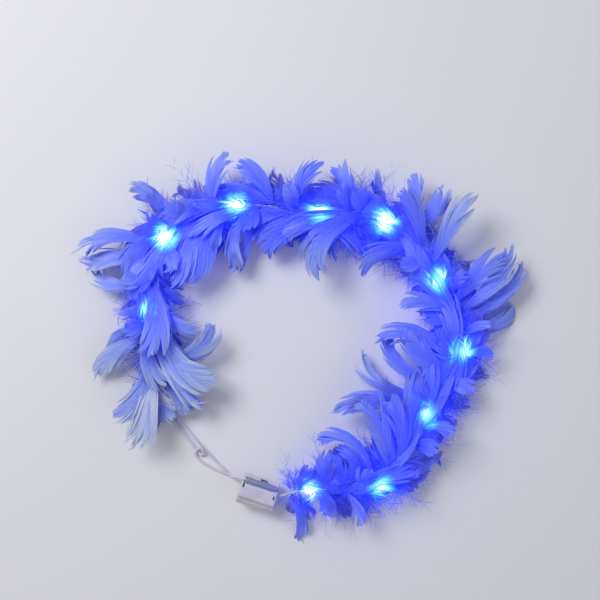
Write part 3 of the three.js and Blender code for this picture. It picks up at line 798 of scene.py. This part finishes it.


# Each tuft is its down and its four kinds of feathers, grown from the wire. How deep they are buried, for
# the painted shade, is worked out when all the tufts stand, and tone alone makes no barb bluer than
# "bluest".
def makeTufts():
    finish = featherKeratin()
    tufts, turns = [], 1
    for tuft in range(lastStation):
        random = np.random.default_rng(tuftRow["seeds"][tuft])
        tail = tuft == lastStation - 1
        whole = tuftRow["tailSplit"] if tail else 1.0
        start, stop, inset = tuftEnds(tuft)
        fills, wraps, wisps = (tuftRow[kind][tuft] for kind in ("fills", "wraps", "wisps"))
        firstWisp, perFill = fillRow["wispTurn"]
        groups = [
            ("lead", leadFeathers[np.floor(leadFeathers[:, 0]) == tuft], whole),
            ("fill", fillFeathers(tuft, fills, turns, *fillRow["fillSize"]), 1.0),
            ("wrap", wrapFeathers(tuft, wraps, random), whole),
            ("wisp", fillFeathers(tuft, wisps, firstWisp + perFill * turns, *fillRow["wispSize"]), 1.0),
        ]
        turns += fills
        parts = downStrands(tuft, start, stop, random)
        for kind, feathers, share in groups:
            barbs, loose, split = tuftRow[kind]
            roots = wireAt(np.clip(feathers[:, 0], start + inset, stop - inset))
            kept = clearOfCase(roots, feathers)
            parts.extend(featherBarbs(roots[kept], feathers[kept], random, barbs, loose, split * share))
        surface = joined([(points, faces) for points, faces, _ in parts])
        tone = np.concatenate([tones.ravel() for _, _, tones in parts])
        tufts.append((surface, tone + tuftRow["tailGlowFade"] * tail))

    paintedShade = paintedShadeShare(np.concatenate([surface[0] for surface, _ in tufts]))
    triangles, start = 0, 0
    for tuft, (surface, tone) in enumerate(tufts):
        stop = start + len(tone)
        lit = litAt(surface[0], np.clip(1 + barbRow["streak"] * tone, *barbRow["streakRange"]))
        level = np.minimum(tone * (1 - lit), np.maximum(barbRow["bluest"] - lit, 0))
        # Painted shade from how deep each barb is buried, weaker where the painted glow is strong
        values = {"lit": lit, "tone": level, "paintedShade": paintedShade[start:stop] * (1 - lit)}
        start = stop
        label = f"{tuft + 1:02d}"
        piece = makePiece(f"tuft_{label}", surface, finish, [f"feather_tuft_{label}"], values)
        piece.data.set_sharp_from_angle(angle=np.radians(barbRow["sharp"]))
        triangles += sum(len(faces) * (faces.shape[1] - 2) for faces in surface[1])
    print("tufts:", lastStation, "with triangles", triangles)


makeTufts()

lightRow = {"radius": 2.7, "half": 3.5, "bore": 0.86, "outerPoints": 15, "sides": 24}


# Lights: a small LED in a drop of clear epoxy resin, glossy, white in the middle of the drop and
# cyan at its ends because it is lit from inside
def lightResin():
    finish, tree, shader = newFinish("epoxy_drop_lit")
    core = addNode(tree, "ShaderNodeAttribute", {}, attribute_name="core")
    shine = addNode(tree, "ShaderNodeValToRGB", {"Fac": core.outputs["Fac"]}, [
        (0.0, "#58C8FF"), (0.35, "#B0F6FF"), (0.75, "#FFFFFF"),
    ])
    setInputs(tree, shader, {
        "Base Color": linear("#DDFBFF"),
        "Emission Color": shine.outputs["Color"],
        "Emission Strength": 2.5,
        "Roughness": 0.12,
        "IOR": 1.5,
        "Coat Weight": 0.4,
    })
    return finish


# A drop: an oval profile turned about the wire, drilled for it, so the profile goes out over the
# oval and back along the bore
def makeLights():
    finish = lightResin()
    radius, half, bore = lightRow["radius"], lightRow["half"], lightRow["bore"]
    edge = np.arccos(bore / radius)
    swing = np.linspace(-edge, edge, lightRow["outerPoints"])
    along = np.concatenate([half * np.sin(swing), [half * np.sin(edge) / 3, -half * np.sin(edge) / 3]])
    reach = np.concatenate([radius * np.cos(swing), [bore, bore]])
    turn = 2 * np.pi * np.arange(lightRow["sides"]) / lightRow["sides"]
    for order, middle in enumerate(lightPoints):
        ahead = wireHeading(order + 1.0)
        side, up = squareTo(ahead)
        ring = np.cos(turn)[:, None] * side + np.sin(turn)[:, None] * up
        points = middle + along[:, None, None] * ahead + reach[:, None, None] * ring
        faces = gridFaces(len(along), len(turn), closeRows=True)
        core = np.repeat(1 - np.abs(along) / half, len(turn))
        label = f"{order + 1:02d}"
        surface = (points.reshape(-1, 3), [faces])
        piece = makePiece(f"drop_{label}", surface, finish, [f"led_{label}"], {"core": core})
        piece.visible_shadow = False  # the lamp inside it shines through
    print("lights:", len(lightPoints))


makeLights()


# Wire: two copper strands in clear PVC, extruded, so pale grey and glossy
def wirePvc():
    return grainedFinish("pvc_twin_lead", ("#BFC2D2", "#DCDEEA"), {
        "Roughness": 0.28,
        "IOR": 1.53,
        "Coat Weight": 0.3,
    }, grainSize=3.0)


# Two strands twisted round the wire's route: each stands off it by its radius and turns with length
def makeWire():
    coarse = wireAt(np.linspace(0, lastStation, coarsePoints))
    steps = int(lengthAlong(coarse)[-1] / wireRow["step"])
    at = np.linspace(0, lastStation, steps)
    path = wireAt(at)
    side, up = squareTo(wireHeading(at))
    turn = (2 * np.pi * lengthAlong(path) / wireRow["twist"])[:, None]
    offset = wireRow["strandRadius"] * (np.cos(turn) * side + np.sin(turn) * up)
    strands = [
        tubeSurface(path + way * offset, wireRow["strandRadius"], wireRow["sides"]) for way in (1, -1)
    ]
    makePiece("twin_lead", joined(strands), wirePvc(), ["led_wire"])
    print("wire: steps", steps)


makeWire()

bindingRow = {
    "length": 4.5,
    "radius": 1.9,
    "thread": 0.5,
    "relief": 0.16,
    "endDrop": 0.75,
    "endPower": 10,
    "steps": 72,
    "sides": 24,
}


# Thread: spun polyester, wound tight. Its turns catch the light one by one. Its fibres are far finer, and
# are drawn at 0.3 mm so that they show.
def threadPolyester():
    return grainedFinish("polyester_thread", ("#CBCDE6", "#EDEDF8"), {
        "Roughness": 0.7,
        "Sheen Weight": 0.2,
    }, grainSize=0.3, bumpStrength=0.3)


# The binding on the far end: a tube whose radius swells and falls once for each turn of thread, with
# the swell winding round it, and rounded in at both ends
def makeBinding():
    span = np.linalg.norm(wirePoints[-1] - wirePoints[-2])
    at = np.linspace(lastStation - bindingRow["length"] / span, lastStation, bindingRow["steps"])
    path = wireAt(at)
    share = np.linspace(-1, 1, bindingRow["steps"])[:, None]
    turn = np.arange(bindingRow["sides"])[None] / bindingRow["sides"]
    wound = np.abs(np.cos(np.pi * (lengthAlong(path)[:, None] / bindingRow["thread"] + turn)))
    ends = 1 - bindingRow["endDrop"] * np.abs(share) ** bindingRow["endPower"]
    radius = ends * bindingRow["radius"] - bindingRow["relief"] * (1 - wound)
    surface = tubeSurface(path, radius, bindingRow["sides"])
    makePiece("wound_binding", surface, threadPolyester(), ["end_binding"])
    print("binding: turns", int(bindingRow["length"] / bindingRow["thread"]))


makeBinding()

elasticRow = {
    "radius": 0.85,
    "loop": [
        (-90.9, -28.2, 6.5), (-87.7, -32.0, 5.6), (-86.0, -39.5, 3.2), (-76.8, -51.2, 1.9),
        (-69.5, -59.8, 4.0), (-66.8, -63.4, 4.95), (-65.8, -66.0, 3.6), (-67.6, -67.8, 1.7),
        (-70.0, -65.6, 1.15), (-72.8, -61.6, 1.15), (-84.5, -47.0, 1.15), (-91.6, -37.5, 2.4),
        (-93.6, -31.8, 4.8),
    ],
    "eye": [
        (-50.2, -80.1, 1.3), (-58.4, -77.2, 1.15), (-64.5, -74.0, 1.15), (-69.8, -69.9, 1.7),
        (-71.4, -66.4, 2.9), (-69.6, -63.6, 3.05), (-66.9, -62.9, 3.0), (-64.6, -64.6, 2.3),
        (-58.4, -71.6, 1.15),
    ],
    "stem": [(-42.3, -80.6, 11.2), (-46.5, -81.3, 4.9)],
    "stemAcross": 3.0,
    "stemLength": 22.0,
    "gap": 0.3,
    "lift": 0.1,
    "step": 0.45,
    "sides": 16,
    "yarns": 4,
    "yarnPitch": 2.6,
    "relief": 0.06,
}


# Elastic: rubber core under braided polyester yarn, so white, matt and soft, with fine crossing yarns.
# The yarns' fibres are drawn at 0.5 mm so that they show.
def elasticBraid():
    return grainedFinish("braided_polyester_elastic", ("#C6C1D8", "#E2DEEE"), {
        "Roughness": 0.75,
        "Sheen Weight": 0.25,
    }, grainSize=0.5, bumpStrength=0.25)


# A braided cord: the radius is a product of two waves that wind round it opposite ways, which raises
# the yarns where they cross
def braid(points, closed):
    ends = len(points) if closed else len(points) - 1
    coarse = routeAt(points, np.linspace(0, ends, coarsePoints), closed=closed)
    steps = int(lengthAlong(coarse)[-1] / elasticRow["step"])
    at = np.linspace(0, ends, steps, endpoint=not closed)
    path = routeAt(points, at, closed=closed) + [0, 0, elasticRow["lift"]]
    turn = 2 * np.pi * np.arange(elasticRow["sides"])[None] / elasticRow["sides"]
    pace = 2 * np.pi * lengthAlong(path)[:, None] / elasticRow["yarnPitch"]
    around = elasticRow["yarns"] * turn
    crossed = np.cos(around + pace) * np.cos(around - pace)
    radius = elasticRow["radius"] - elasticRow["relief"] * (1 - crossed) / 2
    return tubeSurface(path, radius, elasticRow["sides"], closed)


# The far loop is a closed cord. The near one is an open stem, from the glue over the case's end and down
# to the table, and a closed eye that it runs into.
def makeElastic():
    finish = elasticBraid()
    rise = caseRow["size"][2] / 2 + elasticRow["gap"] + elasticRow["radius"]
    alongCase = (elasticRow["stemLength"] / 2, 0, -caseRow["size"][0] / 2)
    onCase = fromCase([(along, elasticRow["stemAcross"], rise) for along in alongCase])
    stem = np.concatenate([onCase, elasticRow["stem"], elasticRow["eye"][:1]])
    makePiece("elastic_far", braid(elasticRow["loop"], True), finish, ["elastic_loop"])
    near = joined([braid(stem, False), braid(elasticRow["eye"], True)])
    makePiece("elastic_near", near, finish, ["elastic_eye"])
    print("elastic: far loop and near eye")


makeElastic()


# Case: ABS, moulded with a satin face, off-white with a lavender cast. Its grain is about 0.1 mm and
# is drawn at 0.6 mm so that it shows.
def caseAbs():
    finish, tree, shader = newFinish("abs_moulded_satin")
    place = addNode(tree, "ShaderNodeTexCoord", {})
    grain, cloud = (
        addNode(tree, "ShaderNodeTexNoise", {"Vector": place.outputs["Object"], "Scale": 1000 / size})
        for size in (caseRow["grain"], caseRow["cloud"])
    )
    colour = addNode(tree, "ShaderNodeValToRGB", {"Fac": cloud.outputs["Fac"]}, [
        (grainRow["from"], "#C6C1D2"), (grainRow["to"], "#D8D3E0"),
    ])
    rough = addNode(tree, "ShaderNodeMapRange", {
        "Value": grain.outputs["Fac"], "To Min": 0.32, "To Max": 0.5,
    })
    bump = addNode(tree, "ShaderNodeBump", {
        "Height": grain.outputs["Fac"], "Strength": 0.12, "Distance": grainRow["height"],
    })
    setInputs(tree, shader, {
        "Base Color": colour.outputs["Color"],
        "Roughness": rough.outputs["Result"],
        "Normal": bump.outputs["Normal"],
        "IOR": 1.53,
    })
    return finish


# Rounded rectangles, one for each row of a profile: four quarter circles that stand in from the
# corners. A row gives how far in from the outline it lies, and its height.
def roundedRows(length, width, corner, rows):
    inset, height = np.array(rows, float).T[..., None, None]
    points = caseRow["cornerPoints"]
    angle = np.linspace(0, np.pi / 2, points)[None] + np.pi / 2 * np.arange(4)[:, None]
    signX, signY = np.array([1, -1, -1, 1])[:, None], np.array([1, 1, -1, -1])[:, None]
    bend = np.maximum(corner - inset, caseRow["leastBend"])
    x = signX * (length / 2 - inset - bend) + bend * np.cos(angle)
    y = signY * (width / 2 - inset - bend) + bend * np.sin(angle)
    grid = np.stack([x, y, height + 0 * x], -1).reshape(-1, 3)
    return grid, [faces[:, ::-1] for faces in cappedFaces(len(rows), 4 * points)]


# A straight prism with rounded corners, for slots and the tab
def prism(slot, low, high):
    x, y, length, width = slot
    points, faces = roundedRows(length, width, caseRow["slotRound"], [(0, low), (0, high)])
    return points + [x, y, 0], faces


# Cuts or joins another surface into a piece, for good
def combine(piece, surface, operation):
    points, faceSets = surface
    mesh = bpy.data.meshes.new("tool")
    places = ((fromCase(points) + toPacked) / 1000).tolist()
    mesh.from_pydata(places, [], [face for faces in faceSets for face in faces.tolist()])
    tool = addObject("tool", mesh)
    change = piece.modifiers.new("change", "BOOLEAN")
    change.operation = operation
    change.solver = "EXACT"
    change.object = tool
    bpy.context.view_layer.update()
    changed = bpy.data.meshes.new_from_object(piece.evaluated_get(bpy.context.evaluated_depsgraph_get()))
    piece.modifiers.clear()
    piece.data = changed
    bpy.data.objects.remove(tool)


# Both halves of the case: the outline's rows run from the outer face over its rounded edge to the
# parting, and inside along the wall to the inner face
def makeCase():
    finish = caseAbs()
    length, width, depth = caseRow["size"]
    half, edge, wall, chamfer = depth / 2, caseRow["round"], caseRow["wall"], caseRow["chamfer"]
    swing = np.linspace(0, np.pi / 2, caseRow["cornerPoints"])
    inset, drop = edge * (1 - np.sin(swing)), edge * (1 - np.cos(swing))
    frontTop, backLow = caseRow["parting"]
    frontRows = [*zip(inset, -half + drop), (0, frontTop - chamfer), (chamfer, frontTop)]
    frontRows += [(wall, frontTop), (wall, wall - half)]
    recess, recessHigh = caseRow["recess"]
    backRows = [(wall, half - wall), (wall, backLow), (recess, backLow), (recess, backLow + recessHigh)]
    backRows += [(0, backLow + recessHigh + chamfer)]
    backRows += zip(inset[::-1], half - drop[::-1])
    for name, rows, slots, face, node in [
        ("case_front", frontRows, caseRow["frontSlots"], -half, "case_shell"),
        ("case_back", backRows, caseRow["backSlots"], half, "case_cover"),
    ]:
        points, faces = roundedRows(length, width, edge, rows)
        piece = makePiece(name, (fromCase(points), faces), finish, [node])
        for slot in slots:
            combine(piece, prism(slot, face - 2 * wall, face + 2 * wall), "DIFFERENCE")
        if node == "case_cover":
            combine(piece, prism(caseRow["tab"], *caseRow["tabHeight"]), "UNION")
        piece.data.set_sharp_from_angle(angle=np.radians(caseRow["sharp"]))
    print("case: front and back halves with slots")


makeCase()

glueRow = {
    "length": 23.4,
    "width": 4.6,
    "height": 2.65,
    "across": 3.0,
    "endDrop": 0.95,
    "endPower": 12,
    "widthWaves": [(0.05, 0.5, 0), (0.03, 1.1, 1)],  # swell, radians a mm and start
    "heightWaves": [(0.03, 0.7, 2), (0.02, 1.6, 0)],
    "driftWaves": [(0.15, 0.5, 0.6)],
    "heightShare": 0.94,
    "steps": 60,
    "arc": 14,
}


# Glue: hot-melt, set cloudy under a glossy skin. The first light's blue glow at its end is painted into its
# colour and emission.
def glueHotMelt():
    finish, tree, shader = newFinish("hot_melt_glue")
    lit = addNode(tree, "ShaderNodeAttribute", {}, attribute_name="lit")
    colour = addNode(tree, "ShaderNodeValToRGB", {"Fac": lit.outputs["Fac"]}, [
        (0.14, "#D6E0F2"), (0.24, "#BCCCF4"), (0.4, "#8CA8FC"),
    ])
    shine = addNode(tree, "ShaderNodeValToRGB", {"Fac": lit.outputs["Fac"]}, [
        (0.14, "#04081A"), (0.24, "#0A143C"), (0.4, "#1C38A0"),
    ])
    setInputs(tree, shader, {
        "Base Color": colour.outputs["Color"],
        "Emission Color": shine.outputs["Color"],
        "Emission Strength": 0.6,
        "Roughness": 0.45,
        "IOR": 1.48,
        "Transmission Weight": 0.8,
        "Coat Weight": 0.5,
    })
    return finish


# The strip of glue: half an oval carried along the case, drawn in at both ends. Its width, its height and
# its way across are sums of waves, as it was laid by hand.
def makeGlue():
    share = np.linspace(-1, 1, glueRow["steps"])[:, None]
    along = share * glueRow["length"] / 2
    angle = np.linspace(0, np.pi, glueRow["arc"])[None]
    ends = np.sqrt(1 - glueRow["endDrop"] * np.abs(share) ** glueRow["endPower"])
    wide, high, drift = (
        sum(swell * np.sin(pace * along + start) for swell, pace, start in glueRow[waves])
        for waves in ("widthWaves", "heightWaves", "driftWaves")
    )
    breadth = glueRow["width"] / 2 * ends * (1 + wide)
    height = glueRow["height"] * ends * (glueRow["heightShare"] + high)
    y = glueRow["across"] + drift + breadth * np.cos(angle)
    z = caseRow["size"][2] / 2 + height * np.sin(angle)
    points = fromCase(np.stack([along + 0 * y, y, z], -1).reshape(-1, 3))
    surface = (points, [faces[:, ::-1] for faces in cappedFaces(*y.shape)])
    makePiece("glue_bead", surface, glueHotMelt(), ["glue_strip"], {"lit": litAt(points)})
    print("glue: bead of", glueRow["length"], "mm")


makeGlue()


# Slider: nylon, moulded, matt, a warmer white than the case. Its grain is drawn at 0.4 mm so that it shows.
def sliderNylon():
    return grainedFinish("nylon_moulded_matt", ("#CFCBBE", "#E4E1D6"), {
        "Roughness": 0.6,
        "IOR": 1.53,
    }, grainSize=0.4, bumpStrength=0.2)


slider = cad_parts["switch_slider"]
slider.data.materials.clear()
slider.data.materials.append(sliderNylon())
print("slider: the solid with its own finish")

studioRow = {
    "floor": "#E8E8EB",
    "floorHalf": 12.0,
    "floorGrain": 4.0,
    "floorHeight": 0.0002,
    "world": "#F4F6FF",
    "worldStrength": 0.36,
    "lamps": [  # place in metres, aim, watts and size
        ((-0.55, 0.5, 0.9), (0.5, -0.45, -0.9), 7.6, 0.5),
        ((0.8, -0.5, 0.7), (-0.8, 0.5, -0.7), 1.4, 0.9),
    ],
    "glow": "#2C38FF",
    "glowWatts": 0.006,
    "glowRise": 5.0,
    "glowSize": 0.004,
}


# Studio: a pale paper floor, a soft key and fill that face their aims, and a blue lamp over each light
def makeStudio():
    finish, tree, shader = newFinish("floor_paper")
    place = addNode(tree, "ShaderNodeTexCoord", {})
    grain = addNode(tree, "ShaderNodeTexNoise", {
        "Vector": place.outputs["Object"], "Scale": 1000 / studioRow["floorGrain"],
    })
    bump = addNode(tree, "ShaderNodeBump", {
        "Height": grain.outputs["Fac"], "Strength": 0.05, "Distance": studioRow["floorHeight"],
    })
    setInputs(tree, shader, {
        "Base Color": linear(studioRow["floor"]), "Roughness": 0.85, "Normal": bump.outputs["Normal"],
    })
    half = studioRow["floorHalf"]
    mesh = bpy.data.meshes.new("floor")
    corners = [(-half, -half, 0), (half, -half, 0), (half, half, 0), (-half, half, 0)]
    mesh.from_pydata(corners, [], [(0, 1, 2, 3)])
    mesh.materials.append(finish)
    floor = addObject("floor", mesh)

    world = bpy.data.worlds.new("studio")
    world.use_nodes = True
    setInputs(world.node_tree, world.node_tree.nodes["Background"], {
        "Color": linear(studioRow["world"]), "Strength": studioRow["worldStrength"],
    })
    scene.world = world
    scene.view_settings.view_transform = "Standard"

    for order, (spot, aim, watts, size) in enumerate(studioRow["lamps"]):
        lamp = bpy.data.lights.new(f"soft_{order}", "AREA")
        lamp.energy = watts
        lamp.size = size
        holder = addObject(lamp.name, lamp, spot)
        holder.rotation_mode = "QUATERNION"
        holder.rotation_quaternion = Vector(aim).to_track_quat("-Z", "Y")
    for order, point in enumerate(lightPoints):
        lamp = bpy.data.lights.new(f"glow_{order + 1:02d}", "POINT")
        lamp.energy = studioRow["glowWatts"]
        lamp.color = linear(studioRow["glow"])[:3]
        lamp.shadow_soft_size = studioRow["glowSize"]
        addObject(lamp.name, lamp, (point + [0, 0, studioRow["glowRise"]] + toPacked) / 1000)
    print("studio: floor, world and", len(studioRow["lamps"]) + len(lightPoints), "lamps")


makeStudio()
